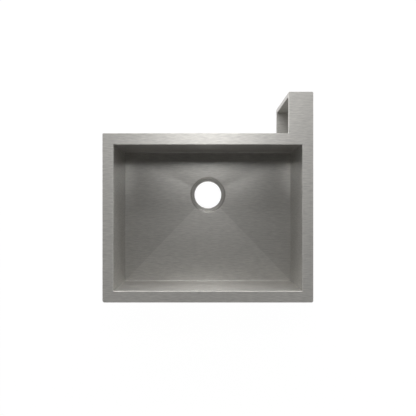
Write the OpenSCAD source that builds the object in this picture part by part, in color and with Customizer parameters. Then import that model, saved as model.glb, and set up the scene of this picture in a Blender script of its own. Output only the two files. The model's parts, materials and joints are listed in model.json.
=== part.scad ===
// Corner sink for under a worktop: stainless bowl, flat deck, two aprons and a towel loop.
// Millimetres. +X right, +Y to the back, +Z up. Origin at the middle of the footprint, on the base.

/* [Body] */
// Width of the sink body, left to right
body_w = 635; // [560:1:800]
// Depth of the sink body, front to back, without the towel loop
body_d = 510; // [460:1:560]
// Height from the base to the top of the deck
height = 254; // [244:1:290]
// Thickness of the sheet
sheet_t = 1.5; // [1.2:0.1:2]
// Depth of the turned-down edge of the deck, and thickness of each band of the towel loop
band_t = 13; // [10:0.5:16]

/* [Outline corners] */
// Radius of the front left corner
corner_fl = 7; // [5:0.5:9]
// Radius of the front right corner
corner_fr = 6; // [5:0.5:9]
// Radius of the back left corner
corner_bl = 2.5; // [2.5:0.5:6]
// Radius of the corner at the back of the towel loop
corner_loop = 4.5; // [3:0.5:8]

/* [Bowl] */
// Width of the deck at the left and right of the bowl
rim_side = 33; // [31:0.5:40]
// Width of the deck in front of the bowl
rim_front = 34.5; // [31:0.5:40]
// Width of the deck behind the bowl
rim_back = 34.5; // [31:0.5:40]
// Depth from the deck to the edge of the floor
bowl_depth = 191; // [165:1:194]
// Fall of the floor from its edge to the middle of the drain
floor_fall = 4; // [2:0.5:10]
// Inside radius of the bend between the walls and the floor
wall_bend = 4; // [2.5:0.5:8]
// Outside radius of the bend between the deck and the walls
rim_bend = 3; // [2.5:0.5:5]

/* [Drain] */
// Diameter of the drain hole
drain_d = 92; // [88:0.5:96]
// Distance from the back wall of the bowl to the middle of the drain
drain_back = 145.5; // [120:0.5:220]
// Diameter of the flat bottom of the drain seat
seat_d = 114; // [112:0.5:124]
// Depth of the drain seat below the lowest point of the floor
seat_drop = 4; // [2:0.5:6]
// Diameter of the inner step of the seat
step_d = 102; // [99:0.5:108]
// Depth of the inner step of the seat
step_drop = 1; // [0.5:0.1:2]
// Slope of the side of the seat: outward run for each millimetre of rise
seat_flare = 0.5; // [0.2:0.1:0.8]

/* [Towel loop] */
// Length of the towel loop behind the sink body
loop_len = 125; // [100:1:160]
// Width of the towel loop
loop_w = 73.5; // [60:0.5:90]

/* [Aprons] */
// Width of the flange at the foot of each apron
apron_foot = 24; // [16:1:28]
// Length of the front apron that returns around the left corner
apron_return = 30; // [20:1:40]
// Height of the braces between the bowl and the aprons
brace_h = 150; // [110:1:155]
// Distance from the turned-down edge of the deck to the top of the braces
brace_drop = 20; // [12:1:22]
// Width of the flanges of the braces
brace_w = 20; // [14:1:28]
// Distance between the two front braces
brace_gap_front = 300; // [220:1:380]
// Distance between the two side braces
brace_gap_side = 240; // [180:1:300]

/* [Base channels] */
// Width of each channel under the floor
channel_w = 50; // [40:1:60]
// Thickness of the channels
channel_t = 2; // [1.5:0.1:3]
// Distance from the bowl's side walls to the middle of each channel
channel_inset = 94.5; // [80:0.5:130]
// Diameter of the screw holes in the channels
screw_d = 6.5; // [4:0.5:9]
// Distance between the two screw holes of one channel
screw_gap = 300; // [200:1:380]

/* [Rails and studs] */
// Width of the flat bars under the flanges
rail_w = 20; // [16:1:22]
// Thickness of the flat bars
rail_t = 4; // [3:0.5:6]
// Length of the left flat bar
rail_left_l = 380; // [340:1:420]
// Length of the back flat bar
rail_back_l = 460; // [420:1:480]
// Diameter of the clamp studs
stud_d = 6; // [5:0.5:6]
// Length of the clamp studs
stud_l = 56; // [52:1:62]
// Diameter of the weld collar at the root of each stud
collar_d = 10; // [8:0.5:12]
// Height of the weld collar
collar_h = 3; // [1:0.5:4]
// Distance between the two studs at the left
clamp_gap_left = 260; // [200:1:300]
// Distance between the two studs at the back
clamp_gap_back = 360; // [300:1:380]

/* [Clamps] */
// Thickness of the cabinet rail that the clamps grip
cabinet_rail_t = 18; // [15:0.5:20]
// Gap between the loosened hook and that rail
clamp_slack = 3; // [1:0.5:4]
// Length of the hook from the stud to the tip
hook_l = 45; // [38:1:55]
// Width of the hook
hook_w = 20; // [16:1:22]
// Thickness of the hook
hook_t = 3; // [2:0.5:4]
// Height of the hook's jaw above its arm
jaw_h = 6; // [4:0.5:8]
// Thickness of the jaw
jaw_t = 3; // [2:0.5:4]
// Number of teeth on the jaw
jaw_teeth = 4; // [2:1:6]
// Height of the teeth
tooth_h = 1.5; // [0.5:0.1:2.5]
// Diameter of the washer under the hook
washer_d = 16; // [14:0.5:18]
// Thickness of the washer
washer_t = 1.6; // [1:0.1:2.5]
// Height of the body of the wing nut
nut_h = 6; // [4:0.5:8]
// Diameter of the body of the wing nut
nut_d = 11; // [10:0.5:12]
// Diameter of each wing
wing_d = 11; // [9:0.5:12]
// Distance between the tips of the two wings
wing_span = 26; // [22:0.5:28]
// Thickness of the wings
wing_t = 2; // [1.5:0.1:3]
// Height of the wings above the body of the nut
wing_rise = -1; // [-2:0.5:0]
// Gap between a stud and the bores of hook and washer
bore_gap = 0.3; // [0.2:0.05:0.5]
// Gap between a stud and the bore of the nut
thread_gap = 0.15; // [0.1:0.05:0.3]

/* [Damping pads] */
// Thickness of the damping pads
pad_t = 3; // [2:0.5:5]
// Height of the pads on the walls and aprons
pad_h = 110; // [80:1:120]
// Distance from the floor's edge up to the foot of the wall pads
pad_lift = 12; // [9:1:20]
// Distance from a pad to the nearest piece beside it
pad_gap = 6; // [3:1:12]
// Distance from the ends of the left and back pads to the bowl's corners
pad_inset = 60; // [40:1:90]
// Distance from the front floor pad to the drain seat
pad_drain_gap = 20; // [10:1:40]

/* [Hidden] */
$fn = 96;

// Colours
STEEL = [0.66, 0.65, 0.63];
STEEL_DARK = [0.55, 0.55, 0.54];
ZINC = [0.72, 0.73, 0.75];
PAD = [0.16, 0.16, 0.17];

// Footprint: left, right, front, back of the body, and end of the loop
x_l = -body_w / 2;
x_r = body_w / 2;
y_f = -(body_d + loop_len) / 2;
y_b = y_f + body_d;
y_e = y_b + loop_len;
lip_z = height - band_t;
under_z = height - sheet_t;

// Inside faces of the bowl's walls
bowl_x0 = x_l + rim_side;
bowl_x1 = x_r - rim_side;
bowl_y0 = y_f + rim_front;
bowl_y1 = y_b - rim_back;
bowl_cx = (bowl_x0 + bowl_x1) / 2;
bowl_cy = (bowl_y0 + bowl_y1) / 2;
floor_z = height - bowl_depth;
wall_z0 = floor_z + wall_bend;
wall_z1 = height - rim_bend;

// Drain
drain_x = bowl_cx;
drain_y = bowl_y1 - drain_back;
seat_z = floor_z - floor_fall - seat_drop;

// Towel loop
loop_x0 = x_r - loop_w;
loop_y0 = y_b - band_t;

// Room between the bowl's walls and the aprons or turned-down edges
gap_x0 = x_l + sheet_t;
gap_x1 = x_r - sheet_t;
gap_y0 = y_f + sheet_t;
gap_y1 = y_b - sheet_t;
wall_out_x0 = bowl_x0 - sheet_t;
wall_out_x1 = bowl_x1 + sheet_t;
wall_out_y0 = bowl_y0 - sheet_t;
wall_out_y1 = bowl_y1 + sheet_t;

// Rails, and the clamps on them: x, y and parked direction
rail_x = (gap_x0 + wall_out_x0) / 2;
rail_y = (gap_y1 + wall_out_y1) / 2;
rail_back_x = (x_l + loop_x0) / 2;
rail_z = under_z - rail_t;
CLAMPS = [
    [rail_x, bowl_cy - clamp_gap_left / 2, 90],
    [rail_x, bowl_cy + clamp_gap_left / 2, -90],
    [rail_back_x - clamp_gap_back / 2, rail_y, 0],
    [rail_back_x + clamp_gap_back / 2, rail_y, 180]
];
jaw_z = lip_z - cabinet_rail_t - clamp_slack;
hook_z = jaw_z - jaw_h - hook_t;
washer_z = hook_z - washer_t;
nut_z = washer_z - nut_h;

// Channels, braces and pads
channel_y0 = y_f + apron_foot;
channel_y1 = bowl_y1;
channel_top = floor_z - sheet_t;
channel_l_x = bowl_x0 + channel_inset;
channel_r_x = bowl_x1 - channel_inset;
brace_z = lip_z - brace_drop - brace_h;
brace_cy = bowl_cy;
pad_z = floor_z + pad_lift;
pad_front_l = brace_gap_front - 2 * pad_gap;
pad_side_l = brace_gap_side - 2 * pad_gap;
pad_floor_y0 = bowl_y0 + wall_bend + pad_gap;
pad_floor_y1 = bowl_y1 - wall_bend - pad_gap;
pad_floor_drain_y = drain_y - seat_d / 2 - pad_drain_gap;
channel_room = channel_w / 2 + pad_gap;
// How far cuts run past what they cut: a little through a face, and well past a corner
through = 1;
over = 20;

// Outline

module corner_cut(x, y, sx, sy, r) {
    if (r > 0)
        translate([x, y]) scale([sx, sy]) difference() {
            translate([-through, -through]) square([r + through, r + through]);
            translate([r, r]) circle(r = r);
        }
}

// Outline of the deck from above, drawn in by i all round
module outline(i) {
    difference() {
        union() {
            translate([x_l + i, y_f + i]) square([body_w - 2 * i, body_d - 2 * i]);
            translate([loop_x0 + i, y_b - over]) square([loop_w - 2 * i, loop_len + over - i]);
        }
        corner_cut(x_l + i, y_f + i, 1, 1, corner_fl - i);
        corner_cut(x_r - i, y_f + i, -1, 1, corner_fr - i);
        corner_cut(x_l + i, y_b - i, 1, -1, corner_bl - i);
        corner_cut(x_r - i, y_e - i, -1, -1, corner_loop - i);
    }
}

// Bowl

// Section of the bowl between walls a0 and a1, grown by o: the inside at 0, the outside at sheet_t
module section(a0, a1, o) {
    translate([a0 - o, floor_z + wall_bend])
        square([a1 - a0 + 2 * o, height - floor_z - wall_bend + through]);
    translate([a0 + wall_bend, floor_z - o])
        square([a1 - a0 - 2 * wall_bend, wall_bend + o + through]);
    translate([a0 + wall_bend, floor_z + wall_bend]) circle(r = wall_bend + o);
    translate([a1 - wall_bend, floor_z + wall_bend]) circle(r = wall_bend + o);
    difference() {
        translate([a0 - rim_bend, height - rim_bend])
            square([a1 - a0 + 2 * rim_bend, rim_bend + through]);
        translate([a0 - rim_bend, height - rim_bend]) circle(r = rim_bend - o);
        translate([a1 + rim_bend, height - rim_bend]) circle(r = rim_bend - o);
    }
}

// The bowl as a solid, without its falling floor
module bowl_block(o) {
    intersection() {
        translate([0, bowl_y1 + over, 0]) rotate([90, 0, 0])
            linear_extrude(height = bowl_y1 - bowl_y0 + 2 * over) section(bowl_x0, bowl_x1, o);
        translate([bowl_x0 - over, 0, 0]) rotate([90, 0, 90])
            linear_extrude(height = bowl_x1 - bowl_x0 + 2 * over) section(bowl_y0, bowl_y1, o);
    }
}

// The falling part of the floor: a flat pyramid with its point at the drain, o below the surface
module floor_fall_block(o, cap) {
    x0 = bowl_x0 + wall_bend;
    x1 = bowl_x1 - wall_bend;
    y0 = bowl_y0 + wall_bend;
    y1 = bowl_y1 - wall_bend;
    z = floor_z - o;
    polyhedron(
        points = [
            [x0, y0, z + cap], [x1, y0, z + cap], [x1, y1, z + cap], [x0, y1, z + cap],
            [x0, y0, z], [x1, y0, z], [x1, y1, z], [x0, y1, z],
            [drain_x, drain_y, z - floor_fall]
        ],
        faces = [
            [3, 2, 1, 0],
            [0, 1, 5, 4], [1, 2, 6, 5], [2, 3, 7, 6], [3, 0, 4, 7],
            [4, 5, 8], [5, 6, 8], [6, 7, 8], [7, 4, 8]
        ]
    );
}

// The pressed seat of the drain, o below the surface
module seat_block(o) {
    rise = floor_z - seat_z;
    translate([drain_x, drain_y, seat_z]) rotate_extrude() polygon([
        [0, -step_drop - o],
        [step_d / 2 + o, -step_drop - o],
        [step_d / 2 + o, -o],
        [seat_d / 2 + o, -o],
        [seat_d / 2 + o + (rise + o) * seat_flare, rise],
        [0, rise]
    ]);
}

module bowl_floor() {
    color(STEEL) difference() {
        union() {
            intersection() {
                bowl_block(sheet_t);
                translate([bowl_x0 - over, bowl_y0 - over, floor_z - over])
                    cube([bowl_x1 - bowl_x0 + 2 * over, bowl_y1 - bowl_y0 + 2 * over, over + wall_bend]);
            }
            floor_fall_block(sheet_t, through);
            seat_block(sheet_t);
        }
        bowl_block(0);
        floor_fall_block(0, wall_bend);
        seat_block(0);
        translate([drain_x, drain_y, seat_z - over]) cylinder(d = drain_d, h = 2 * over);
    }
}

module bowl_wall_back() {
    color(STEEL) translate([bowl_x0, bowl_y1, wall_z0])
        cube([bowl_x1 - bowl_x0, sheet_t, wall_z1 - wall_z0]);
}

module bowl_wall_front() {
    color(STEEL) translate([bowl_x0, wall_out_y0, wall_z0])
        cube([bowl_x1 - bowl_x0, sheet_t, wall_z1 - wall_z0]);
}

module bowl_side_wall(x) {
    translate([x, wall_out_y0, wall_z0])
        cube([sheet_t, wall_out_y1 - wall_out_y0, wall_z1 - wall_z0]);
}

module bowl_wall_left() {
    color(STEEL) bowl_side_wall(wall_out_x0);
}

module bowl_wall_right() {
    color(STEEL) bowl_side_wall(bowl_x1);
}

// Deck

module deck() {
    color(STEEL) difference() {
        union() {
            difference() {
                translate([0, 0, lip_z]) linear_extrude(height = band_t) outline(0);
                translate([0, 0, lip_z - through])
                    linear_extrude(height = band_t + through - sheet_t) outline(sheet_t);
            }
            intersection() {
                bowl_block(sheet_t);
                translate([bowl_x0 - rim_bend, bowl_y0 - rim_bend, wall_z1]) cube([
                    bowl_x1 - bowl_x0 + 2 * rim_bend, bowl_y1 - bowl_y0 + 2 * rim_bend, rim_bend
                ]);
            }
        }
        bowl_block(0);
    }
}

// Aprons

module front_apron() {
    color(STEEL) union() {
        linear_extrude(height = lip_z) difference() {
            intersection() {
                outline(0);
                union() {
                    translate([x_l, y_f]) square([body_w, corner_fr]);
                    translate([x_l, y_f]) square([corner_fl, apron_return]);
                }
            }
            outline(sheet_t);
        }
        linear_extrude(height = sheet_t) intersection() {
            outline(sheet_t);
            translate([x_l, y_f]) square([body_w, apron_foot]);
        }
    }
}

module side_apron() {
    color(STEEL) union() {
        translate([gap_x1, y_f + corner_fr, 0]) cube([sheet_t, loop_y0 - y_f - corner_fr, lip_z]);
        translate([x_r - apron_foot, y_f + apron_foot, 0])
            cube([apron_foot - sheet_t, loop_y0 - y_f - apron_foot, sheet_t]);
    }
}

// Towel loop

// Outline of the loop from y0 to y1, drawn in by i all round
module loop_outline(y0, y1, i) {
    intersection() {
        outline(i);
        translate([loop_x0 + i, y0 + i]) square([loop_w - 2 * i, y1 - y0 - 2 * i]);
    }
}

module loop_liner() {
    color(STEEL) translate([0, 0, lip_z]) linear_extrude(height = sheet_t) intersection() {
        outline(sheet_t);
        translate([loop_x0 + sheet_t, loop_y0]) square([loop_w, y_e - loop_y0]);
    }
}

module loop_upright(y0, y1) {
    translate([0, 0, band_t]) linear_extrude(height = lip_z - band_t) difference() {
        loop_outline(y0, y1, 0);
        loop_outline(y0, y1, sheet_t);
    }
}

module loop_outer_upright() {
    color(STEEL) loop_upright(y_e - band_t, y_e);
}

module loop_inner_upright() {
    color(STEEL) loop_upright(loop_y0, y_b);
}

module loop_bottom_bar() {
    color(STEEL) difference() {
        linear_extrude(height = band_t) loop_outline(loop_y0, y_e, 0);
        translate([0, 0, sheet_t]) linear_extrude(height = band_t - 2 * sheet_t)
            loop_outline(loop_y0, y_e, sheet_t);
    }
}

// Base channels

module base_channel(x) {
    y_mid = (channel_y0 + channel_y1) / 2;
    difference() {
        translate([x - channel_w / 2, channel_y0, 0])
            cube([channel_w, channel_y1 - channel_y0, channel_top]);
        translate([x - channel_w / 2 + channel_t, channel_y0 - through, channel_t])
            cube([channel_w - 2 * channel_t, channel_y1 - channel_y0 + 2 * through, channel_top]);
        floor_fall_block(sheet_t, wall_bend);
        for (s = [-1, 1])
            translate([x, y_mid + s * screw_gap / 2, -through])
                cylinder(d = screw_d, h = channel_t + 2 * through);
    }
}

module base_channel_left() {
    color(STEEL_DARK) base_channel(channel_l_x);
}

module base_channel_right() {
    color(STEEL_DARK) base_channel(channel_r_x);
}

// Braces: a channel of the given depth, open to +X
module brace(depth) {
    cube([sheet_t, depth, brace_h]);
    cube([brace_w, sheet_t, brace_h]);
    translate([0, depth - sheet_t, 0]) cube([brace_w, sheet_t, brace_h]);
}

module front_brace(s) {
    translate([bowl_cx + s * brace_gap_front / 2, gap_y0, brace_z]) scale([s, 1, 1])
        brace(wall_out_y0 - gap_y0);
}

module front_brace_left() {
    color(STEEL_DARK) front_brace(-1);
}

module front_brace_right() {
    color(STEEL_DARK) front_brace(1);
}

module side_brace(s) {
    translate([gap_x1, brace_cy + s * brace_gap_side / 2, brace_z]) scale([1, s, 1])
        rotate([0, 0, 90]) brace(gap_x1 - wall_out_x1);
}

module side_brace_front() {
    color(STEEL_DARK) side_brace(-1);
}

module side_brace_back() {
    color(STEEL_DARK) side_brace(1);
}

// Rails and clamps

module rim_rail_left() {
    color(STEEL_DARK) translate([rail_x - rail_w / 2, bowl_cy - rail_left_l / 2, rail_z])
        cube([rail_w, rail_left_l, rail_t]);
}

module rim_rail_back() {
    color(STEEL_DARK) translate([rail_back_x - rail_back_l / 2, rail_y - rail_w / 2, rail_z])
        cube([rail_back_l, rail_w, rail_t]);
}

module clamp_studs() {
    color(ZINC) for (c = CLAMPS) translate([c[0], c[1], rail_z]) {
        translate([0, 0, -stud_l]) cylinder(d = stud_d, h = stud_l);
        translate([0, 0, -collar_h]) cylinder(d = collar_d, h = collar_h);
    }
}

module clamp_washer(n) {
    c = CLAMPS[n - 1];
    color(ZINC) translate([c[0], c[1], washer_z]) difference() {
        cylinder(d = washer_d, h = washer_t);
        translate([0, 0, -through]) cylinder(d = stud_d + 2 * bore_gap, h = washer_t + 2 * through);
    }
}

// Edge of the jaw, seen from the tip of the hook: a row of teeth
module jaw_face() {
    pitch = hook_w / jaw_teeth;
    polygon(concat(
        [[-hook_w / 2, 0]],
        [for (i = [0 : jaw_teeth - 1]) each [
            [-hook_w / 2 + i * pitch, hook_t + jaw_h - tooth_h],
            [-hook_w / 2 + (i + 0.5) * pitch, hook_t + jaw_h]
        ]],
        [[hook_w / 2, hook_t + jaw_h - tooth_h], [hook_w / 2, 0]]
    ));
}

module clamp_hook(n) {
    c = CLAMPS[n - 1];
    color(ZINC) translate([c[0], c[1], hook_z]) rotate([0, 0, c[2]]) difference() {
        union() {
            cylinder(d = hook_w, h = hook_t);
            translate([0, -hook_w / 2, 0]) cube([hook_l, hook_w, hook_t]);
            translate([hook_l - jaw_t, 0, 0]) rotate([90, 0, 90])
                linear_extrude(height = jaw_t) jaw_face();
        }
        translate([0, 0, -through]) cylinder(d = stud_d + 2 * bore_gap, h = hook_t + 2 * through);
    }
}

module clamp_nut(n) {
    c = CLAMPS[n - 1];
    color(ZINC) translate([c[0], c[1], nut_z]) difference() {
        union() {
            cylinder(d = nut_d, h = nut_h);
            for (s = [-1, 1])
                translate([s * (wing_span - wing_d) / 2, wing_t / 2, nut_h - wing_d / 2 + wing_rise])
                    rotate([90, 0, 0]) cylinder(d = wing_d, h = wing_t);
        }
        translate([0, 0, -over]) cylinder(d = stud_d + 2 * thread_gap, h = 2 * over);
    }
}

module clamp_washer_1() { clamp_washer(1); }
module clamp_washer_2() { clamp_washer(2); }
module clamp_washer_3() { clamp_washer(3); }
module clamp_washer_4() { clamp_washer(4); }
module clamp_hook_1() { clamp_hook(1); }
module clamp_hook_2() { clamp_hook(2); }
module clamp_hook_3() { clamp_hook(3); }
module clamp_hook_4() { clamp_hook(4); }
module clamp_nut_1() { clamp_nut(1); }
module clamp_nut_2() { clamp_nut(2); }
module clamp_nut_3() { clamp_nut(3); }
module clamp_nut_4() { clamp_nut(4); }

// Damping pads

module pad_wall_left() {
    color(PAD) translate([wall_out_x0 - pad_t, bowl_y0 + pad_inset, pad_z])
        cube([pad_t, bowl_y1 - bowl_y0 - 2 * pad_inset, pad_h]);
}

module pad_wall_back() {
    color(PAD) translate([bowl_x0 + pad_inset, wall_out_y1, pad_z])
        cube([bowl_x1 - bowl_x0 - 2 * pad_inset, pad_t, pad_h]);
}

module pad_wall_front() {
    color(PAD) translate([bowl_cx - pad_front_l / 2, wall_out_y0 - pad_t, pad_z])
        cube([pad_front_l, pad_t, pad_h]);
}

module pad_apron_front() {
    color(PAD) translate([bowl_cx - pad_front_l / 2, gap_y0, pad_z])
        cube([pad_front_l, pad_t, pad_h]);
}

module pad_wall_right() {
    color(PAD) translate([wall_out_x1, brace_cy - pad_side_l / 2, pad_z])
        cube([pad_t, pad_side_l, pad_h]);
}

module pad_apron_side() {
    color(PAD) translate([gap_x1 - pad_t, brace_cy - pad_side_l / 2, pad_z])
        cube([pad_t, pad_side_l, pad_h]);
}

// A pad that follows the underside of the floor over the given rectangle
module floor_pad(x0, x1, y0, y1) {
    color(PAD) difference() {
        intersection() {
            floor_fall_block(sheet_t + pad_t, pad_t);
            translate([x0, y0, 0]) cube([x1 - x0, y1 - y0, channel_top]);
        }
        floor_fall_block(sheet_t, wall_bend);
    }
}

module pad_floor_left() {
    floor_pad(
        bowl_x0 + wall_bend + pad_gap, channel_l_x - channel_room, pad_floor_y0, pad_floor_y1
    );
}

module pad_floor_right() {
    floor_pad(
        channel_r_x + channel_room, bowl_x1 - wall_bend - pad_gap, pad_floor_y0, pad_floor_y1
    );
}

module pad_floor_front() {
    floor_pad(
        channel_l_x + channel_room, channel_r_x - channel_room, pad_floor_y0, pad_floor_drain_y
    );
}

deck();
bowl_floor();
bowl_wall_back();
bowl_wall_front();
bowl_wall_left();
bowl_wall_right();
front_apron();
side_apron();
loop_liner();
loop_outer_upright();
loop_inner_upright();
loop_bottom_bar();
base_channel_left();
base_channel_right();
front_brace_left();
front_brace_right();
side_brace_front();
side_brace_back();
rim_rail_left();
rim_rail_back();
clamp_studs();
clamp_washer_1();
clamp_washer_2();
clamp_washer_3();
clamp_washer_4();
clamp_hook_1();
clamp_hook_2();
clamp_hook_3();
clamp_hook_4();
clamp_nut_1();
clamp_nut_2();
clamp_nut_3();
clamp_nut_4();
pad_wall_left();
pad_wall_back();
pad_wall_front();
pad_wall_right();
pad_apron_front();
pad_apron_side();
pad_floor_left();
pad_floor_right();
pad_floor_front();
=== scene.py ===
"""Looks of the corner sink: brushed stainless steel, steel fittings, zinc clamps and damping pads."""
import json
import math

import bmesh
import bpy
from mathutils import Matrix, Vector

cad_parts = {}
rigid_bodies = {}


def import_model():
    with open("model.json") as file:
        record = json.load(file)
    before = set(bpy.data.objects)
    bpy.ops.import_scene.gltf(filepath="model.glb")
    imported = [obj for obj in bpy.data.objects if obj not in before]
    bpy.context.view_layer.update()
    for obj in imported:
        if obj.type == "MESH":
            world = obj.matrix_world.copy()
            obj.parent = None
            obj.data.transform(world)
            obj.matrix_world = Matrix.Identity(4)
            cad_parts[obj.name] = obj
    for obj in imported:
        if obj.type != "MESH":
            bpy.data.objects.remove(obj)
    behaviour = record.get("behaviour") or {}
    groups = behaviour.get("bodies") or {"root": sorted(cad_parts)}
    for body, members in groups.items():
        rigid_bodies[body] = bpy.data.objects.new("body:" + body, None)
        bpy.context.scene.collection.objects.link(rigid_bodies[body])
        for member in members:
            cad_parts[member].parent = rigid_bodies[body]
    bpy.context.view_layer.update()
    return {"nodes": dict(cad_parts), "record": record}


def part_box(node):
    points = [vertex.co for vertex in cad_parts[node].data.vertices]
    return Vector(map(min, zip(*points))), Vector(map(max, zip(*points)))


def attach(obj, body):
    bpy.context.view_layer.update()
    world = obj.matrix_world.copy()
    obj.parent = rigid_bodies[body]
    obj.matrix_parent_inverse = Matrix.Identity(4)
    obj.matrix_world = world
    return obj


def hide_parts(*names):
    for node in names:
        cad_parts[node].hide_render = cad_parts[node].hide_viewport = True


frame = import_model()

MM = 0.001
TINY = 0.01 * MM

# Sizes of the sheet steel, in metres, as the frame has them
SHEET = 1.5 * MM
BAND = 13 * MM
WALL_BEND = 4 * MM
RIM_BEND = 3.0 * MM
FLOOR_FALL = 4 * MM
DRAIN_BACK = 145.5 * MM
DRAIN_R = 46 * MM
SEAT_DROP = 4 * MM
STEP_DROP = 1 * MM

# Forms that are finer than the frame's: the bends at the walls and round the opening, and the drain's
# seat from its shoulder inward, with its foot, a dish that falls to the step, and their roundings
BEND_R = 2 * MM
OPENING_FOLD = 2.0 * MM
SEAT_R = 60.5 * MM
SEAT_FOOT_R = 56.0 * MM
SEAT_DISH = 0.45 * MM
STEP_R = 47.3 * MM
PUNCHED = 0.7 * MM
TOP_ROUNDS = (2.0 * MM, 1.0 * MM, 1.0 * MM, PUNCHED)
UNDER_ROUNDS = (0.2 * MM, 1.0 * MM, 2.5 * MM, 1.0 * MM)
# The turned finish ends just inside the shoulder
SEAT_TURNED_R = SEAT_R - 0.5 * MM

# Rounding of the other edges
FOLD = 2.0 * MM
HEAVY_FOLD = 3.0 * MM
BRACE_FOLD = 2.0 * MM
WELDED = 0.8 * MM
SHORN = 0.25 * MM
CAST_EDGE = 0.5 * MM

# Which edges count as sharp or flat, which points as one or as on a bend, and the least length of a crease
SHARP_DEG = 30
FLAT_DEG = 0.2
SAME_POINT = 0.1 * TINY
ON_BEND = 5 * TINY
CREASE_LENGTH = 2 * MM
CORNER_SPARE = 2 * MM

# Faces in a rounded edge and in a bend, and the angle from one ray of the floor to the next
ROUND_STEPS = 4
BEND_STEPS = 8
RAY_STEP_DEG = 2.5

# Damping pads: raised squares on a slab. The squares' layers go up from the slab, each with how far it
# is drawn in and how high it lies
PAD = 3.0 * MM
PAD_SLAB = 2.3 * MM
PAD_CORNER = 9 * MM
PAD_CORNER_STEPS = 6
PAD_EDGE = 0.9 * MM
PAD_PITCH = 14 * MM
PAD_SQUARE = 10.5 * MM
PAD_MARGIN = 7 * MM
SQUARE_LAYERS = ((0, PAD_SLAB - TINY), (0.3 * MM, PAD - 0.15 * MM), (0.7 * MM, PAD))

# Clamps: M6 studs, whose thread leaves a plain tip, and their round collars
CLAMPS = 4
STUD_R = 3.0 * MM
THREAD_PITCH = 1.0 * MM
THREAD_DEPTH = 0.55 * MM
THREAD_SIDES = 20
ROOT_R = STUD_R - THREAD_DEPTH
TIP_PLAIN = 1.5 * MM
TIP_CHAMFER = 0.5 * MM
COLLAR_R = 5.0 * MM
COLLAR_H = 3.0 * MM
COLLAR_STRAIGHT = 0.6
COLLAR_CHAMFER = 0.8 * MM

# Wing nuts, in millimetres: radius and height of the body's outline, from the bore's top round to its
# foot, and an ear's outline, outward and up. The nut's top is at height 0. EAR_HALF is half an ear's
# thickness at the nut's middle, and EAR_TAPER what it loses for each millimetre outward
NUT_SIDES = 32
NUT_OUTLINE = ((3.15, -0.4), (3.55, 0), (5.1, 0), (5.5, -0.4), (5.5, -1.6), (4.6, -5.4), (4.2, -6),
               (3.55, -6), (3.15, -5.6))
EAR_OUTLINE = ((3.9, -0.6), (5.2, -4.6), (7.2, -9.2), (9.8, -11.0), (12.3, -10.2), (13.0, -7.6),
               (11.6, -4.9), (8.8, -3.1), (6.2, -1.9), (4.6, -0.6))
EAR_MIDDLE = Vector((8.6, -6.0))
EAR_HALF = 1.15
EAR_TAPER = 0.03
# An ear's layers from one face to the other: side, how far the outline is drawn in, how much thinner
EAR_LAYERS = ((-1, 0.55, 0), (-1, 0, 0.45), (1, 0, 0.45), (1, 0.55, 0))

# Stainless steel: tones, gloss, and how wide the marks of the belt spread the light
STEEL_DARK = "#B9B7B3"
STEEL_LIGHT = "#D0CEC9"
STEEL_METALLIC = 0.5
STEEL_ROUGH = 0.33
STEEL_SPREAD = 0.3
RIM_ROUGH = 0.44
BELT_ROUGH_SWAY = 0.02
SEAT_ROUGH = 0.2
SEAT_ROUGH_SWAY = 0.03
SEAT_SPREAD = 0.1
# Light spreads along a surface's tangent, so a quarter of a turn lays it across the marks
ACROSS_MARKS = 0.25
# How much lighter than the bowl's steel these are coloured: for the rim and the front facet this is painted
# light
RIM_GAIN = 1.24
FACET_GAIN = 1.12
SEAT_GAIN = 1.5
# The soft streaks that the belt leaves: about 3.5 mm high and 20 mm long, and never quite straight
STREAK = 3.4 * MM
STREAK_RUN = 20 * MM
STREAK_BEND = 40 * MM
STREAK_SWAY = 7 * MM
# The real lines are 0.1 mm apart, too fine to show, so they are drawn about ten times as wide
GRIT_LINE = 1.1 * MM
GRIT_RUN = 30 * MM
GRIT_DEPTH = 0.02 * MM
GRIT_BUMP = 0.12
# Where streaks and lines, added up, turn from the dark tone to the light one
BELT_SPAN = {"From Min": 0.7, "From Max": 1.3}
# A face that looks further left or right than this is brushed as a side face
SIDE_FACING = 0.7
# Turning marks are 0.2 mm apart, also too fine to show, so they are drawn as 1 mm rings. RING_CHANGE is
# how much they change on the way round
RING_LINE = 1.0 * MM
RING_CHANGE = 1.5
RING_SPAN = {"From Min": 0.3, "From Max": 0.7}

# Mill finish: cloudy patches, longer from front to back by 1 / ROLL_DRAW. The pickled grain is 0.03 mm
# across, drawn twenty times as coarse
MILL_DARK = "#8E8D8B"
MILL_LIGHT = "#B4B3B0"
ROLL_PATCH = 40 * MM
ROLL_DRAW = 0.3
ROLL_ROUGH = {"From Min": 0.35, "From Max": 0.65, "To Min": 0.52, "To Max": 0.4}
PICKLED_GRAIN = 0.6 * MM
PICKLED_DEPTH = 0.05 * MM
PICKLED_BUMP = 0.2

# Zinc plate
ZINC_BLUE = "#B9C1CB"
ZINC_YELLOW = "#CBC6B4"
ZINC_PATCH = 9 * MM
ZINC_PATCH_SPAN = {"From Min": 0.4, "From Max": 0.7}
ZINC_ROUGH = {"From Min": 0.3, "From Max": 0.7, "To Min": 0.24, "To Max": 0.36}
ZINC_DIMPLE = 0.8 * MM
DIMPLE_DEPTH = 0.06 * MM
DIMPLE_BUMP = 0.25

# Butyl rubber
RUBBER_BLACK = "#1C1C1E"
RUBBER_BLOOM = "#34343A"
RUBBER_IOR = 1.52
RUBBER_ROUGH = {"To Min": 0.62, "To Max": 0.85}
BLOOM_PATCH = 60 * MM
BLOOM_SPAN = {"From Min": 0.4, "From Max": 0.75}
PEBBLE = 1.2 * MM
PEBBLE_DEPTH = 0.12 * MM
PEBBLE_BUMP = 0.3

# Studio: paper that shows as white where it is seen, and keeps a share of its shadows
FLOOR_HALF = 8.0
PAPER = "#F2F2F2"
PAPER_WHITE = 1.04
PAPER_WHITE_SHARE = 0.95
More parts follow.
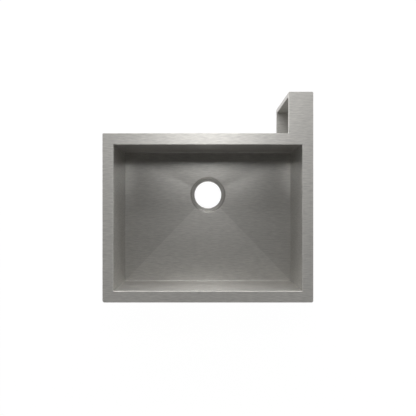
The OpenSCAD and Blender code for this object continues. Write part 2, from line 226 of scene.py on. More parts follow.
# The room: brightness from the horizon up, the dark top, and the bright wall at the back with its top
SKY_ROOM = {"From Min": 0.0, "From Max": 0.3, "To Min": 0.95, "To Max": 0.1}
SKY_TOP = {"From Min": 0.9, "From Max": 0.8}
SKY_BACK = {"From Min": 0.4, "From Max": 0.9, "To Max": 0.9}
SKY_BACK_TOP = {"From Min": 0.8, "From Max": 0.6}
# Lamps: name, place, size and power. The second group stands at the left and the right alike
LAMPS = (
    ("softbox_near", (0, 0.48, 1.5), (0.3, 0.24), 3.0),
    ("softbox_far", (0, 0.6, 1.9), (0.2, 0.2), 0.75),
    ("strip_back", (0, 1.2, 1.2), (1.4, 0.2), 4.55),
    ("strip_low", (0, 1.5, 0.62), (2.4, 0.2), 9.0),
)
TWIN_LAMPS = (
    ("strip_side", (1.3, 0.9, 0.5), (0.3, 0.2), 2.3),
    ("softbox_side", (0.9, 0, 1.4), (0.2, 0.2), 0.1),
    ("softbox_front", (0.5, -0.6, 1.3), (0.3, 0.2), 0.17),
)
LAMP_TARGET = Vector((0, 0, 0.2))
CAMERA_PLACE = (0.0004, -0.0328, 1.614)
CAMERA_CLIP = (0.05, 50)
SENSOR_WIDTH = 36.0
LENS = 39.1

deck_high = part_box("deck")[1]
floor_low, floor_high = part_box("bowl_floor")
loop_low, loop_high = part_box("loop_bottom_bar")
bowl_low = floor_low + Vector((SHEET, SHEET, 0))
bowl_high = floor_high - Vector((SHEET, SHEET, 0))
floor_edge_z = floor_high.z - WALL_BEND
drain = Vector(((bowl_low.x + bowl_high.x) / 2, bowl_high.y - DRAIN_BACK, 0))
body_back_y = loop_low.y + BAND
slots = {row["node"]: row["material_slot"] for row in frame["record"]["subparts"]}


# Materials

def linear(code, gain=1.0):
    """An sRGB hex colour as the linear colour that the shaders take, made lighter by the gain."""
    parts = [int(code[i:i + 2], 16) / 255 for i in (1, 3, 5)]
    return [gain * (c / 12.92 if c <= 0.04045 else ((c + 0.055) / 1.055) ** 2.4) for c in parts] + [1.0]


def add(tree, kind, sockets=None, **settings):
    """Adds a node. Settings are its own properties; a socket's value is set, or linked if it is a socket."""
    node = tree.nodes.new(kind)
    for name, value in settings.items():
        setattr(node, name, value)
    for name, value in (sockets or {}).items():
        if isinstance(value, bpy.types.NodeSocket):
            tree.links.new(value, node.inputs[name])
        else:
            node.inputs[name].default_value = value
    return node


def new_material(name):
    material = bpy.data.materials.new(name)
    material.use_nodes = True
    material.node_tree.nodes.clear()
    return material, material.node_tree


def finish_material(tree, shader):
    add(tree, "ShaderNodeOutputMaterial", {"Surface": shader.outputs[0]})


def grain_space(tree, side_along):
    """Coordinates whose first axis runs along the brushed lines, and those lines' direction.

    The lines run left to right, and on faces that look left or right along side_along.
    """
    place = add(tree, "ShaderNodeTexCoord")
    axes = add(tree, "ShaderNodeSeparateXYZ", {0: place.outputs["Object"]})
    facing = add(tree, "ShaderNodeNewGeometry")
    normal = add(tree, "ShaderNodeSeparateXYZ", {0: facing.outputs["True Normal"]})
    sideways = add(tree, "ShaderNodeMath", {0: normal.outputs["X"]}, operation="ABSOLUTE")
    turned = add(tree, "ShaderNodeMath", {0: sideways.outputs[0], 1: SIDE_FACING}, operation="GREATER_THAN")
    kept = add(tree, "ShaderNodeMath", {0: 1.0, 1: turned.outputs[0]}, operation="SUBTRACT")
    across = "Y" if side_along == "Z" else "Z"
    upright = add(tree, "ShaderNodeCombineXYZ", {
        "X": axes.outputs[side_along], "Y": axes.outputs[across], "Z": axes.outputs["X"],
    })
    space = add(tree, "ShaderNodeMix", {
        0: turned.outputs[0], 4: place.outputs["Object"], 5: upright.outputs[0],
    }, data_type="VECTOR")
    along = add(tree, "ShaderNodeCombineXYZ", {"X": kept.outputs[0], side_along: turned.outputs[0]})
    return space.outputs[1], along.outputs[0]


# gain makes the steel's colour lighter; the rim and the front facet use it for painted light
def brushed_stainless(name, side_along, roughness=STEEL_ROUGH, gain=1.0):
    """Stainless steel sheet, 1.4301, ground with a 180 grit belt.

    The belt leaves fine lines all one way, and broader soft streaks where it bore harder. They spread
    the light across the lines and scatter a little of it every way, so the steel looks satin, not bright.
    """
    material, tree = new_material(name)
    space, along = grain_space(tree, side_along)
    wander = add(tree, "ShaderNodeTexNoise", {"Vector": space, "Scale": 1 / STREAK_BEND, "Detail": 1.0})
    bent = add(tree, "ShaderNodeVectorMath", {
        0: wander.outputs["Color"], 1: (0, STREAK_SWAY, STREAK_SWAY), 2: space,
    }, operation="MULTIPLY_ADD")
    streaks = add(tree, "ShaderNodeMapping", {
        "Vector": bent.outputs[0], "Scale": (1 / STREAK_RUN, 1 / STREAK, 1 / STREAK),
    })
    streak = add(tree, "ShaderNodeTexNoise", {"Vector": streaks.outputs[0], "Scale": 1.0, "Detail": 2.0})
    lines = add(tree, "ShaderNodeMapping", {
        "Vector": space, "Scale": (1 / GRIT_RUN, 1 / GRIT_LINE, 1 / GRIT_LINE),
    })
    line = add(tree, "ShaderNodeTexNoise", {"Vector": lines.outputs[0], "Scale": 1.0, "Detail": 3.0})
    both = add(tree, "ShaderNodeMath", {0: streak.outputs[0], 1: line.outputs[0]}, operation="ADD")
    tone = add(tree, "ShaderNodeMapRange", {"Value": both.outputs[0], **BELT_SPAN})
    colour = add(tree, "ShaderNodeMix", {
        0: tone.outputs[0], 6: linear(STEEL_DARK, gain), 7: linear(STEEL_LIGHT, gain),
    }, data_type="RGBA")
    rough = add(tree, "ShaderNodeMapRange", {
        "Value": both.outputs[0], **BELT_SPAN,
        "To Min": roughness + BELT_ROUGH_SWAY, "To Max": roughness - BELT_ROUGH_SWAY,
    })
    relief = add(tree, "ShaderNodeBump", {
        "Height": line.outputs[0], "Strength": GRIT_BUMP, "Distance": GRIT_DEPTH,
    })
    shader = add(tree, "ShaderNodeBsdfPrincipled", {
        "Base Color": colour.outputs[2], "Metallic": STEEL_METALLIC, "Roughness": rough.outputs[0],
        "Anisotropic": STEEL_SPREAD, "Anisotropic Rotation": ACROSS_MARKS, "Tangent": along,
        "Normal": relief.outputs[0],
    })
    finish_material(tree, shader)
    return material


def turned_stainless(name):
    """The drain seat: the same steel, turned on a lathe, which leaves fine rings round the hole.

    They are finer than the belt's lines, so the seat is glossier than the sheet. Its colour is made paler
    than the sheet's by SEAT_GAIN.
    """
    material, tree = new_material(name)
    place = add(tree, "ShaderNodeTexCoord")
    from_hole = add(tree, "ShaderNodeVectorMath", {
        0: place.outputs["Object"], 1: (drain.x, drain.y, 0),
    }, operation="SUBTRACT")
    flat = add(tree, "ShaderNodeVectorMath", {0: from_hole.outputs[0], 1: (1, 1, 0)}, operation="MULTIPLY")
    radius = add(tree, "ShaderNodeVectorMath", {0: flat.outputs[0]}, operation="LENGTH")
    outward = add(tree, "ShaderNodeVectorMath", {0: flat.outputs[0]}, operation="NORMALIZE")
    rings = add(tree, "ShaderNodeMath", {0: radius.outputs["Value"], 1: 1 / RING_LINE}, operation="MULTIPLY")
    ring = add(tree, "ShaderNodeCombineXYZ", {"X": rings.outputs[0]})
    swept = add(tree, "ShaderNodeVectorMath", {
        0: outward.outputs[0], 1: (0, RING_CHANGE, RING_CHANGE), 2: ring.outputs[0],
    }, operation="MULTIPLY_ADD")
    line = add(tree, "ShaderNodeTexNoise", {"Vector": swept.outputs[0], "Scale": 1.0, "Detail": 2.0})
    colour = add(tree, "ShaderNodeMix", {
        0: line.outputs[0], 6: linear(STEEL_DARK, SEAT_GAIN), 7: linear(STEEL_LIGHT, SEAT_GAIN),
    }, data_type="RGBA")
    rough = add(tree, "ShaderNodeMapRange", {
        "Value": line.outputs[0], **RING_SPAN,
        "To Min": SEAT_ROUGH + SEAT_ROUGH_SWAY, "To Max": SEAT_ROUGH - SEAT_ROUGH_SWAY,
    })
    around = add(tree, "ShaderNodeVectorMath", {
        0: outward.outputs[0], 1: (0, 0, 1),
    }, operation="CROSS_PRODUCT")
    shader = add(tree, "ShaderNodeBsdfPrincipled", {
        "Base Color": colour.outputs[2], "Metallic": STEEL_METALLIC, "Roughness": rough.outputs[0],
        "Anisotropic": SEAT_SPREAD, "Anisotropic Rotation": ACROSS_MARKS, "Tangent": around.outputs[0],
    })
    finish_material(tree, shader)
    return material


def mill_steel(name):
    """Cold-rolled stainless steel as it left the mill, neither ground nor polished.

    Rolling gives it a dull grey skin with faint cloudy patches, drawn out along the sheet.
    """
    material, tree = new_material(name)
    place = add(tree, "ShaderNodeTexCoord")
    rolled = add(tree, "ShaderNodeMapping", {
        "Vector": place.outputs["Object"], "Scale": (1 / ROLL_PATCH, ROLL_DRAW / ROLL_PATCH, 1 / ROLL_PATCH),
    })
    patch = add(tree, "ShaderNodeTexNoise", {"Vector": rolled.outputs[0], "Scale": 1.0, "Detail": 5.0})
    grain = add(tree, "ShaderNodeTexNoise", {
        "Vector": place.outputs["Object"], "Scale": 1 / PICKLED_GRAIN, "Detail": 2.0,
    })
    colour = add(tree, "ShaderNodeMix", {
        0: patch.outputs[0], 6: linear(MILL_DARK), 7: linear(MILL_LIGHT),
    }, data_type="RGBA")
    rough = add(tree, "ShaderNodeMapRange", {"Value": patch.outputs[0], **ROLL_ROUGH})
    relief = add(tree, "ShaderNodeBump", {
        "Height": grain.outputs[0], "Strength": PICKLED_BUMP, "Distance": PICKLED_DEPTH,
    })
    shader = add(tree, "ShaderNodeBsdfPrincipled", {
        "Base Color": colour.outputs[2], "Metallic": 1.0, "Roughness": rough.outputs[0],
        "Normal": relief.outputs[0],
    })
    finish_material(tree, shader)
    return material


def zinc_plate(name):
    """Steel fittings in bright zinc from a plating barrel, sealed with a clear passivate.

    The film turns the blue-white zinc a little yellow in patches, and the barrel leaves it finely dimpled.
    """
    material, tree = new_material(name)
    place = add(tree, "ShaderNodeTexCoord")
    film = add(tree, "ShaderNodeTexNoise", {
        "Vector": place.outputs["Object"], "Scale": 1 / ZINC_PATCH, "Detail": 3.0,
    })
    dimple = add(tree, "ShaderNodeTexNoise", {
        "Vector": place.outputs["Object"], "Scale": 1 / ZINC_DIMPLE, "Detail": 2.0,
    })
    patch = add(tree, "ShaderNodeMapRange", {"Value": film.outputs[0], **ZINC_PATCH_SPAN})
    colour = add(tree, "ShaderNodeMix", {
        0: patch.outputs[0], 6: linear(ZINC_BLUE), 7: linear(ZINC_YELLOW),
    }, data_type="RGBA")
    rough = add(tree, "ShaderNodeMapRange", {"Value": dimple.outputs[0], **ZINC_ROUGH})
    relief = add(tree, "ShaderNodeBump", {
        "Height": dimple.outputs[0], "Strength": DIMPLE_BUMP, "Distance": DIMPLE_DEPTH,
    })
    shader = add(tree, "ShaderNodeBsdfPrincipled", {
        "Base Color": colour.outputs[2], "Metallic": 1.0, "Roughness": rough.outputs[0],
        "Normal": relief.outputs[0],
    })
    finish_material(tree, shader)
    return material


def butyl_rubber(name):
    """Butyl rubber filled with carbon black, pressed into sheet and stuck on.

    It is matt, with a fine pebbled skin, and pale bloom and dust lie on it in soft patches.
    """
    material, tree = new_material(name)
    place = add(tree, "ShaderNodeTexCoord")
    bloom = add(tree, "ShaderNodeTexNoise", {
        "Vector": place.outputs["Object"], "Scale": 1 / BLOOM_PATCH, "Detail": 4.0,
    })
    pebble = add(tree, "ShaderNodeTexVoronoi", {"Vector": place.outputs["Object"], "Scale": 1 / PEBBLE})
    dusty = add(tree, "ShaderNodeMapRange", {"Value": bloom.outputs[0], **BLOOM_SPAN})
    colour = add(tree, "ShaderNodeMix", {
        0: dusty.outputs[0], 6: linear(RUBBER_BLACK), 7: linear(RUBBER_BLOOM),
    }, data_type="RGBA")
    rough = add(tree, "ShaderNodeMapRange", {"Value": dusty.outputs[0], **RUBBER_ROUGH})
    relief = add(tree, "ShaderNodeBump", {
        "Height": pebble.outputs[0], "Strength": PEBBLE_BUMP, "Distance": PEBBLE_DEPTH,
    })
    shader = add(tree, "ShaderNodeBsdfPrincipled", {
        "Base Color": colour.outputs[2], "Roughness": rough.outputs[0], "IOR": RUBBER_IOR,
        "Normal": relief.outputs[0],
    })
    finish_material(tree, shader)
    return material


FINISHES = {
    "brushed_stainless": brushed_stainless("brushed_stainless_steel", "Z"),
    "mill_steel": mill_steel("mill_finish_stainless_steel"),
    "zinc_steel": zinc_plate("zinc_plated_steel"),
    "damping_pad": butyl_rubber("butyl_rubber"),
}
# Sheets whose side faces are brushed front to back, not upward
APRON_STEEL = brushed_stainless("brushed_stainless_steel_apron", "Y")
SIDE_SHEETS = ("side_apron", "loop_outer_upright", "loop_inner_upright", "loop_bottom_bar", "loop_liner")
# Painted light: the front facet of the floor is coloured a little lighter than the other three, as the light
# falls more on it
FACET_STEEL = brushed_stainless("brushed_stainless_steel_front_facet", "Z", gain=FACET_GAIN)
# Painted light: the rim's steel is coloured paler than the bowl's, as the open rim stands in more light than
# the bowl; it is also rougher, so duller
RIM_STEEL = brushed_stainless("brushed_stainless_steel_rim", "Z", roughness=RIM_ROUGH, gain=RIM_GAIN)
SEAT_STEEL = turned_stainless("turned_stainless_steel")


def finish_of(node):
    if node == "deck":
        # The deck takes the steel that is painted lighter, as painted light on the open rim
        return RIM_STEEL
    return APRON_STEEL if node in SIDE_SHEETS else FINISHES[slots[node]]


# Making pieces

def piece_from(bm, name, node, sharp_deg=SHARP_DEG):
    """Turns a bmesh into the piece that takes a CAD node's place, on its body and with its finish."""
    for face in bm.faces:
        face.smooth = True
    for edge in bm.edges:
        if len(edge.link_faces) == 2 and edge.calc_face_angle() > math.radians(sharp_deg):
            edge.smooth = False
    mesh = bpy.data.meshes.new(name)
    bm.to_mesh(mesh)
    bm.free()
    piece = bpy.data.objects.new(name, mesh)
    bpy.context.collection.objects.link(piece)
    mesh.materials.append(finish_of(node))
    weighted = piece.modifiers.new("flat faces stay flat", "WEIGHTED_NORMAL")
    weighted.keep_sharp = True
    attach(piece, frame["nodes"][node].parent.name.removeprefix("body:"))
    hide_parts(node)
    return piece


def circle(bm, centre, radius, z, sides):
    """Points all round a level circle."""
    points = []
    for k in range(sides):
        a = 2 * math.pi * k / sides
        points.append(bm.verts.new((centre.x + radius * math.cos(a), centre.y + radius * math.sin(a), z)))
    return points


def join(bm, rings):
    """Faces between closed rings of points, each ring to the next in the list."""
    for a, b in zip(rings, rings[1:]):
        for k in range(len(a)):
            m = (k + 1) % len(a)
            bm.faces.new((a[k], a[m], b[m], b[k]))


def cut(bm, point, normal, dist):
    """Cuts every face along a plane, and keeps both sides."""
    geometry = bm.verts[:] + bm.edges[:] + bm.faces[:]
    bmesh.ops.bisect_plane(bm, geom=geometry, dist=dist, plane_co=point, plane_no=normal)


def round_edges(bm, radius, chosen):
    """Rounds the sharp edges whose two ends the test chooses."""
    edges = [
        e for e in bm.edges
        if len(e.link_faces) == 2 and e.calc_face_angle() > math.radians(SHARP_DEG)
        and chosen(e.verts[0].co, e.verts[1].co)
    ]
    bmesh.ops.bevel(
        bm, geom=edges, offset=radius, offset_type="OFFSET", segments=ROUND_STEPS, profile=0.5,
        affect="EDGES", clamp_overlap=True,
    )


def sheet_copy(node, roundings, cuts_y=()):
    """A copy of a CAD node with soft edges: roundings are pairs of a radius and a test of an edge's ends."""
    bm = bmesh.new()
    bm.from_mesh(frame["nodes"][node].data)
    bmesh.ops.remove_doubles(bm, verts=bm.verts, dist=SAME_POINT)
    bmesh.ops.dissolve_limit(bm, angle_limit=math.radians(FLAT_DEG), verts=bm.verts, edges=bm.edges)
    for y in cuts_y:
        cut(bm, (0, y, 0), (0, 1, 0), SAME_POINT)
    for radius, chosen in roundings:
        round_edges(bm, radius, chosen)
    return piece_from(bm, node + "_piece", node)


def upright_at(x, y):
    """A test for vertical edges at one place."""
    return lambda a, b: all(abs(p.x - x) < TINY and abs(p.y - y) < TINY for p in (a, b))


def level_at(z, inside=lambda p: True):
    """A test for edges that lie at one height, where both ends pass a second test."""
    return lambda a, b: all(abs(p.z - z) < TINY and inside(p) for p in (a, b))


def any_edge(a, b):
    return True


def brace_corner(node):
    """A test for the two outer folds of a brace: upright edges on its web, the side most points are on."""
    low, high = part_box(node)
    axis = 0 if node.startswith("front") else 1
    middle = (low[axis] + high[axis]) / 2
    side = sum(v.co[axis] - middle for v in frame["nodes"][node].data.vertices)
    web = (low if side < 0 else high)[axis]

    def on_web(a, b):
        return all(abs(p[axis] - web) < TINY for p in (a, b)) and abs(a.z - b.z) > (high.z - low.z) / 2

    return on_web


def tighten_opening(deck):
    """Draws in the bend round the bowl's opening, from the frame's radius to a sharper one."""
    for v in deck.data.vertices:
        near = Vector((min(max(v.co.x, bowl_low.x), bowl_high.x),
                       min(max(v.co.y, bowl_low.y), bowl_high.y), deck_high.z))
        beside = v.co - near
        over, above = max(abs(beside.x), abs(beside.y)), RIM_BEND + beside.z
        on_bend = abs(math.hypot(RIM_BEND - over, above) - RIM_BEND) < ON_BEND
        if on_bend and above > TINY and over < RIM_BEND + TINY:
            v.co = near + beside * (OPENING_FOLD / RIM_BEND)


# Bowl floor

def rounded(points, radii):
    """A line of points with each inner corner rounded to its radius."""
    line = [points[0]]
    for before, corner, after, radius in zip(points, points[1:], points[2:], radii):
        to_before = (before - corner).normalized()
        to_after = (after - corner).normalized()
        reach = radius / math.tan(to_before.angle(to_after) / 2)
        p, q = corner + to_before * reach, corner + to_after * reach
        for i in range(ROUND_STEPS + 1):
            t = i / ROUND_STEPS
            line.append(p * (1 - t) ** 2 + corner * 2 * t * (1 - t) + q * t ** 2)
    line.append(points[-1])
    return line


def flat_corners():
    """Corners of the flat part of the floor, back right first and to the left round."""
    x0, x1 = bowl_low.x + WALL_BEND, bowl_high.x - WALL_BEND
    y0, y1 = bowl_low.y + WALL_BEND, bowl_high.y - WALL_BEND
    return [Vector((x1, y1)), Vector((x0, y1)), Vector((x0, y0)), Vector((x1, y0))]


def floor_rays():
    """Rays from the drain to the edge of the flat floor: (point on the edge, outward, is a corner)."""
    corners = flat_corners()
    outwards = [Vector((0, 1)), Vector((-1, 0)), Vector((0, -1)), Vector((1, 0))]
    rays = []
    for n, (start, end) in enumerate(zip(corners, corners[1:] + corners[:1])):
        out = outwards[n]
        rays.append((start, out + outwards[n - 1], True))
        a = math.atan2(start.y - drain.y, start.x - drain.x)
        b = math.atan2(end.y - drain.y, end.x - drain.x)
        if b < a:
            b += 2 * math.pi
        count = math.ceil(math.degrees(b - a) / RAY_STEP_DEG)
        reach = (start - drain.xy).dot(out)
        for i in range(1, count):
            turn = a + (b - a) * i / count
            ray = Vector((math.cos(turn), math.sin(turn)))
            rays.append((drain.xy + ray * (reach / ray.dot(out)), out, False))
    return rays


def floor_section(edge, out):
    """The closed outline of the floor's sheet along one ray, from the wall to the drain and back below."""
    bend_at = edge + out * (WALL_BEND - BEND_R)
    far = (bend_at - drain.xy).length
    ray = (bend_at - drain.xy) / far
    low_z = floor_edge_z - FLOOR_FALL
    shoulder_z = low_z + FLOOR_FALL / far * SEAT_R
    seat_z = low_z - SEAT_DROP
    hole_z = seat_z - STEP_DROP
    lap = SHEET * math.tan(math.atan2(SEAT_DROP, SEAT_R - SEAT_FOOT_R) / 2)
    top = rounded([
        Vector((far, floor_edge_z)), Vector((SEAT_R, shoulder_z)),
        Vector((SEAT_FOOT_R, seat_z + SEAT_DISH)), Vector((STEP_R, seat_z)),
        Vector((DRAIN_R, hole_z)), Vector((DRAIN_R, hole_z - SHEET / 2)),
    ], TOP_ROUNDS)
    under = rounded([
        Vector((DRAIN_R, hole_z - SHEET / 2)), Vector((DRAIN_R, hole_z - SHEET)),
        Vector((STEP_R, seat_z - SHEET)), Vector((SEAT_FOOT_R + lap, seat_z + SEAT_DISH - SHEET)),
        Vector((SEAT_R + lap, shoulder_z - SHEET)), Vector((far, floor_edge_z - SHEET)),
    ], UNDER_ROUNDS)
    bend = [math.radians(90 / BEND_STEPS * i) for i in range(1, BEND_STEPS + 1)]
    wall, behind = edge + out * WALL_BEND, edge + out * (WALL_BEND + SHEET)
    points = [(wall.x, wall.y, floor_edge_z + WALL_BEND)]
    for a in reversed(bend):
        p = bend_at + out * BEND_R * math.sin(a)
        points.append((p.x, p.y, floor_edge_z + BEND_R * (1 - math.cos(a))))
    for r, z in top + under[1:]:
        p = drain.xy + ray * r
        points.append((p.x, p.y, z))
    for a in bend:
        p = bend_at + out * (BEND_R + SHEET) * math.sin(a)
        points.append((p.x, p.y, floor_edge_z + BEND_R - (BEND_R + SHEET) * math.cos(a)))
    points.append((behind.x, behind.y, floor_edge_z + WALL_BEND))
    return points


def floor_panel():
    """The floor: bends at the walls, four facets that fall to the drain, and the pressed seat."""
    bm = bmesh.new()
    rays = floor_rays()
    rings = [[bm.verts.new(p) for p in floor_section(edge, out)] for edge, out, _ in rays]
    join(bm, rings + rings[:1])
    creases = {v for ring, ray in zip(rings, rays) if ray[2] for v in ring}
    bmesh.ops.recalc_face_normals(bm, faces=bm.faces)
    for edge in bm.edges:
        along = (edge.verts[0].co - edge.verts[1].co).xy.length
        if edge.verts[0] in creases and edge.verts[1] in creases and along > CREASE_LENGTH:
            edge.smooth = False
    back_right, _, front_left, _ = flat_corners()
    for face in bm.faces:
        p = face.calc_center_median().xy - drain.xy
        if p.length < SEAT_TURNED_R:
            face.material_index = 1
        elif p.y < 0 and abs(p.x) * (drain.y - front_left.y) < -p.y * (back_right.x - drain.x):
            face.material_index = 2
    panel = piece_from(bm, "bowl_floor_panel", "bowl_floor")
    panel.data.materials.append(SEAT_STEEL)
    # The front facet's steel is painted lighter, as painted light
    panel.data.materials.append(FACET_STEEL)


# Damping pads

def facet_z(x, y):
    """Height of the falling floor at a point."""
    back_right, _, front_left, _ = flat_corners()
    across = (x - drain.x) / ((back_right if x > drain.x else front_left).x - drain.x)
    along = (y - drain.y) / ((back_right if y > drain.y else front_left).y - drain.y)
    return floor_edge_z - FLOOR_FALL * (1 - max(across, along))


def slab_outline(bm, width, height, inset, w):
    """The outline of a pad with round corners, half its size each way, drawn in by inset, at height w."""
    radius = PAD_CORNER - inset
    verts = []
    for side_u, side_v, start in ((1, 1, 0), (-1, 1, 90), (-1, -1, 180), (1, -1, 270)):
        for i in range(PAD_CORNER_STEPS + 1):
            a = math.radians(start + 90 / PAD_CORNER_STEPS * i)
            verts.append(bm.verts.new((
                side_u * (width - PAD_CORNER) + radius * math.cos(a),
                side_v * (height - PAD_CORNER) + radius * math.sin(a), w,
            )))
    return verts


def pad(node, u_axis, v_axis, out, follows_floor=False):
    """A damping pad: a rubber slab with round corners, soft edges and rows of raised squares."""
    low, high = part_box(node)
    middle = (low + high) / 2
    width = abs((high - low).dot(u_axis)) / 2
    height = abs((high - low).dot(v_axis)) / 2
    bm = bmesh.new()
    turns = [math.radians(90 / ROUND_STEPS * i) for i in range(ROUND_STEPS + 1)]
    rings = [slab_outline(bm, width, height, 0, 0)] + [
        slab_outline(bm, width, height, PAD_EDGE * (1 - math.cos(a)), PAD_SLAB - PAD_EDGE * (1 - math.sin(a)))
        for a in turns
    ]
    join(bm, rings)
    bm.faces.new(list(reversed(rings[0])))
    bm.faces.new(rings[-1])

    columns = int((2 * (width - PAD_MARGIN) + PAD_PITCH - PAD_SQUARE) / PAD_PITCH)
    rows = int((2 * (height - PAD_MARGIN) + PAD_PITCH - PAD_SQUARE) / PAD_PITCH)
    for i in range(columns):
        for j in range(rows):
            u = (i - (columns - 1) / 2) * PAD_PITCH
            v = (j - (rows - 1) / 2) * PAD_PITCH
            layers = [[
                bm.verts.new((u + su * (PAD_SQUARE / 2 - inset), v + sv * (PAD_SQUARE / 2 - inset), w))
                for su, sv in ((1, 1), (-1, 1), (-1, -1), (1, -1))
            ] for inset, w in SQUARE_LAYERS]
            join(bm, layers)
            bm.faces.new(layers[-1])
    if follows_floor:
        centre = Vector(((drain.x - middle.x) * u_axis.x, (drain.y - middle.y) * v_axis.y, 0))
        for corner in flat_corners():
            ray = Vector(((corner.x - drain.x) * u_axis.x, (corner.y - drain.y) * v_axis.y, 0))
            cut(bm, centre, ray.cross(Vector((0, 0, 1))), TINY)
    stuck = middle - out * abs((high - low).dot(out)) / 2
    for vert in bm.verts:
        u, v, w = vert.co
        p = stuck + u_axis * u + v_axis * v + out * w
        if follows_floor:
            p.z = facet_z(p.x, p.y) - SHEET - w
        vert.co = p
    bmesh.ops.recalc_face_normals(bm, faces=bm.faces)
    piece_from(bm, node + "_rubber", node, sharp_deg=50)


# Clamps

def add_stud(bm, centre, top, bottom):
    """One stud: its collar, a thread that winds down with a run-in at both ends, and a plain tip."""
    start_z = top - COLLAR_H
    crown = bm.verts.new((centre.x, centre.y, top))
    collar = [circle(bm, centre, r, z, THREAD_SIDES) for r, z in (
        (COLLAR_R, top), (COLLAR_R, top - COLLAR_H * COLLAR_STRAIGHT),
        (COLLAR_R - COLLAR_CHAMFER, start_z), (ROOT_R, start_z),
    )]
    for k in range(THREAD_SIDES):
        bm.faces.new((crown, collar[0][(k + 1) % THREAD_SIDES], collar[0][k]))
    join(bm, collar)

    turns = int((start_z - bottom - TIP_PLAIN) / THREAD_PITCH)
    steps = turns * THREAD_SIDES
    thread = []
    for i in range(steps + 1):
        a = 2 * math.pi * i / THREAD_SIDES
        z = start_z - THREAD_PITCH * i / THREAD_SIDES
        run_in = min(1.0, i / THREAD_SIDES, (steps - i) / THREAD_SIDES)
        crest_r = STUD_R - THREAD_DEPTH * (1 - run_in)
        thread.append([
            bm.verts.new((centre.x + r * math.cos(a), centre.y + r * math.sin(a), z - drop))
            for r, drop in ((ROOT_R, 0), (crest_r, THREAD_PITCH / 2))
        ])
    for i in range(steps):
        bm.faces.new((thread[i][0], thread[i + 1][0], thread[i + 1][1], thread[i][1]))
    for i in range(steps - THREAD_SIDES):
        below = i + THREAD_SIDES
        bm.faces.new((thread[i][1], thread[i + 1][1], thread[below + 1][0], thread[below][0]))

    end = circle(bm, centre, ROOT_R, start_z - THREAD_PITCH * (turns + 0.5), THREAD_SIDES)
    tip = circle(bm, centre, ROOT_R - TIP_CHAMFER, bottom, THREAD_SIDES)
    join(bm, [end, tip])
    for k in range(THREAD_SIDES):
        i = steps - THREAD_SIDES + k
        bm.faces.new((thread[i][1], thread[i + 1][1], end[(k + 1) % THREAD_SIDES], end[k]))
    bm.faces.new(list(reversed(tip)))


def threaded_studs():
    """Four welded studs with their collars and a rolled thread, as one piece."""
    bm = bmesh.new()
    studs_low, studs_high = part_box("clamp_studs")
    for n in range(1, CLAMPS + 1):
        low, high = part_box(f"clamp_washer_{n}")
        add_stud(bm, (low + high) / 2, studs_high.z, studs_low.z)
    bmesh.ops.recalc_face_normals(bm, faces=bm.faces)
    piece_from(bm, "clamp_studs_threaded", "clamp_studs", sharp_deg=40)


def wing_nut(n):
    """A cast wing nut: a waisted body with two round ears that lean outward and down."""
    node = f"clamp_nut_{n}"
    low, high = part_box(node)
    centre = (low + high) / 2
    bm = bmesh.new()
    rings = [circle(bm, centre, r * MM, high.z + z * MM, NUT_SIDES) for r, z in NUT_OUTLINE]
    join(bm, rings + rings[:1])
    for side in (-1, 1):
        layers = []
        for face, inset, thinner in EAR_LAYERS:
            layer = []
            for x, z in EAR_OUTLINE:
                p = Vector((x, z))
                p += (EAR_MIDDLE - p).normalized() * inset
                depth = face * (EAR_HALF - EAR_TAPER * x - thinner)
                place = Vector((side * p.x, depth, p.y)) * MM
                layer.append(bm.verts.new(Vector((centre.x, centre.y, high.z)) + place))
            layers.append(layer)
        join(bm, layers)
        bm.faces.new(layers[0])
        bm.faces.new(list(reversed(layers[-1])))
    bmesh.ops.recalc_face_normals(bm, faces=bm.faces)
    piece_from(bm, f"wing_nut_{n}", node, sharp_deg=50)


# The sink

def make_sheets():
    """The floor panel, and soft-edged copies of the other steel pieces."""
    floor_panel()
    x_left, y_end = loop_low.x, loop_high.y
    y_gap = loop_high.y - BAND
    tighten_opening(sheet_copy("deck", [
        (WELDED, upright_at(x_left, y_end)),
        (WELDED, upright_at(x_left, body_back_y)),
        (FOLD, level_at(deck_high.z)),
    ]))
    apron_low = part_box("front_apron")[0]
    # The outer faces of the front apron lie at its left end and before this, just behind its corner's end
    face_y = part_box("side_apron")[0].y + CORNER_SPARE
    sheet_copy("front_apron", [
        (FOLD, level_at(0, lambda p: p.x < apron_low.x + TINY or p.y < face_y)),
    ])
    sheet_copy("side_apron", [(FOLD, level_at(0, lambda p: p.x > deck_high.x - TINY))])
    for node, y in (("loop_outer_upright", y_gap), ("loop_inner_upright", body_back_y)):
        corners = [(WELDED, upright_at(x, y)) for x in (x_left, deck_high.x)]
        if node == "loop_outer_upright":
            corners.append((WELDED, upright_at(x_left, y_end)))
        sheet_copy(node, corners)
    sheet_copy("loop_bottom_bar", [
        (WELDED, upright_at(x_left, y_end)),
        (FOLD, level_at(0)),
        (WELDED, level_at(BAND, lambda p: body_back_y - TINY < p.y < y_gap + TINY)),
    ], cuts_y=(body_back_y, y_gap))
    for side in ("left", "right"):
        sheet_copy(f"base_channel_{side}", [(HEAVY_FOLD, level_at(0))])
    for node in ("front_brace_left", "front_brace_right", "side_brace_front", "side_brace_back"):
        sheet_copy(node, [(BRACE_FOLD, brace_corner(node)), (SHORN, any_edge)])
    for node in ("rim_rail_left", "rim_rail_back"):
        sheet_copy(node, [(SHORN, any_edge)])
    for n in range(1, CLAMPS + 1):
        sheet_copy(f"clamp_washer_{n}", [(SHORN, any_edge)])
        sheet_copy(f"clamp_hook_{n}", [(CAST_EDGE, any_edge)])


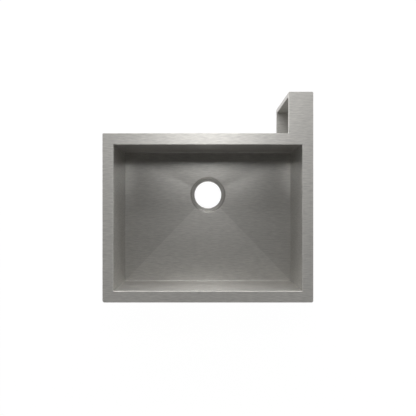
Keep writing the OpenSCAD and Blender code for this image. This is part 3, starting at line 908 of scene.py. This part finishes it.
def make_pads():
    """The pads on the bowl's walls, behind the aprons and under the floor."""
    up, back, right = Vector((0, 0, 1)), Vector((0, 1, 0)), Vector((1, 0, 0))
    for node, u_axis, v_axis, out in (
        ("pad_wall_left", back, up, -right), ("pad_wall_right", back, up, right),
        ("pad_wall_back", right, up, back), ("pad_wall_front", right, up, -back),
        ("pad_apron_front", right, up, back), ("pad_apron_side", back, up, -right),
    ):
        pad(node, u_axis, v_axis, out)
    for node in ("pad_floor_left", "pad_floor_right", "pad_floor_front"):
        pad(node, right, back, -up, follows_floor=True)


make_sheets()
make_pads()
threaded_studs()
for number in range(1, CLAMPS + 1):
    wing_nut(number)

for node_name, obj in frame["nodes"].items():
    for s in obj.material_slots:
        s.material = finish_of(node_name)


# Studio

def studio_floor():
    """White paper, bright to the camera and in the steel, and clear from below."""
    mesh = bpy.data.meshes.new("studio_floor")
    corners = [(x * FLOOR_HALF, y * FLOOR_HALF, 0) for x, y in ((-1, -1), (1, -1), (1, 1), (-1, 1))]
    mesh.from_pydata(corners, [], [(0, 1, 2, 3)])
    floor = bpy.data.objects.new("studio_floor", mesh)
    bpy.context.collection.objects.link(floor)
    material, tree = new_material("studio_paper")
    rays = add(tree, "ShaderNodeLightPath")
    seen = rays.outputs["Is Camera Ray"]
    for kind in ("Is Glossy Ray", "Is Transmission Ray"):
        seen = add(tree, "ShaderNodeMath", {0: seen, 1: rays.outputs[kind]}, operation="MAXIMUM").outputs[0]
    share = add(tree, "ShaderNodeMath", {0: seen, 1: PAPER_WHITE_SHARE}, operation="MULTIPLY")
    paper = add(tree, "ShaderNodeBsdfDiffuse", {"Color": linear(PAPER)})
    white = add(tree, "ShaderNodeEmission", {"Color": (1, 1, 1, 1), "Strength": PAPER_WHITE})
    mixed = add(tree, "ShaderNodeMixShader", {0: share.outputs[0], 1: paper.outputs[0], 2: white.outputs[0]})
    clear = add(tree, "ShaderNodeBsdfTransparent")
    side = add(tree, "ShaderNodeNewGeometry")
    both = add(tree, "ShaderNodeMixShader", {
        0: side.outputs["Backfacing"], 1: mixed.outputs[0], 2: clear.outputs[0],
    })
    finish_material(tree, both)
    floor.data.materials.append(material)


def studio_sky():
    """A dim room that is dark overhead and paler at the horizon, with a wide bright wall low at the back."""
    world = bpy.data.worlds.new("studio")
    world.use_nodes = True
    tree = world.node_tree
    tree.nodes.clear()
    place = add(tree, "ShaderNodeTexCoord")
    axes = add(tree, "ShaderNodeSeparateXYZ", {0: place.outputs["Generated"]})
    parts = []
    for axis, span in (("Z", SKY_ROOM), ("Z", SKY_TOP), ("Y", SKY_BACK), ("Z", SKY_BACK_TOP)):
        part = add(tree, "ShaderNodeMapRange", {
            "Value": axes.outputs[axis], **span,
        }, interpolation_type="SMOOTHSTEP")
        parts.append(part.outputs[0])
    room, top, behind, behind_top = parts
    dimmed = add(tree, "ShaderNodeMath", {0: room, 1: top}, operation="MULTIPLY")
    both = add(tree, "ShaderNodeMath", {
        0: behind, 1: behind_top, 2: dimmed.outputs[0],
    }, operation="MULTIPLY_ADD")
    light = add(tree, "ShaderNodeBackground", {"Color": (1, 1, 1, 1), "Strength": both.outputs[0]})
    add(tree, "ShaderNodeOutputWorld", {"Surface": light.outputs[0]})
    bpy.context.scene.world = world


def lamp(name, place, size, power):
    """A rectangular lamp that looks at the sink."""
    data = bpy.data.lights.new(name, "AREA")
    data.shape = "RECTANGLE"
    data.size, data.size_y = size
    data.energy = power
    obj = bpy.data.objects.new(name, data)
    obj.location = place
    obj.rotation_euler = (LAMP_TARGET - Vector(place)).to_track_quat("-Z", "Y").to_euler()
    bpy.context.collection.objects.link(obj)


def camera():
    """The camera over the sink. It looks straight down, as it does unless it is turned."""
    data = bpy.data.cameras.new("camera")
    data.sensor_width = SENSOR_WIDTH
    data.lens = LENS
    data.clip_start, data.clip_end = CAMERA_CLIP
    obj = bpy.data.objects.new("camera", data)
    obj.location = CAMERA_PLACE
    bpy.context.collection.objects.link(obj)
    bpy.context.scene.camera = obj


studio_floor()
studio_sky()
for name, place, size, power in LAMPS:
    lamp(name, place, size, power)
for side in (-1, 1):
    for name, (x, y, z), size, power in TWIN_LAMPS:
        lamp(name, (side * x, y, z), size, power)
camera()
bpy.context.scene.view_settings.view_transform = "Standard"
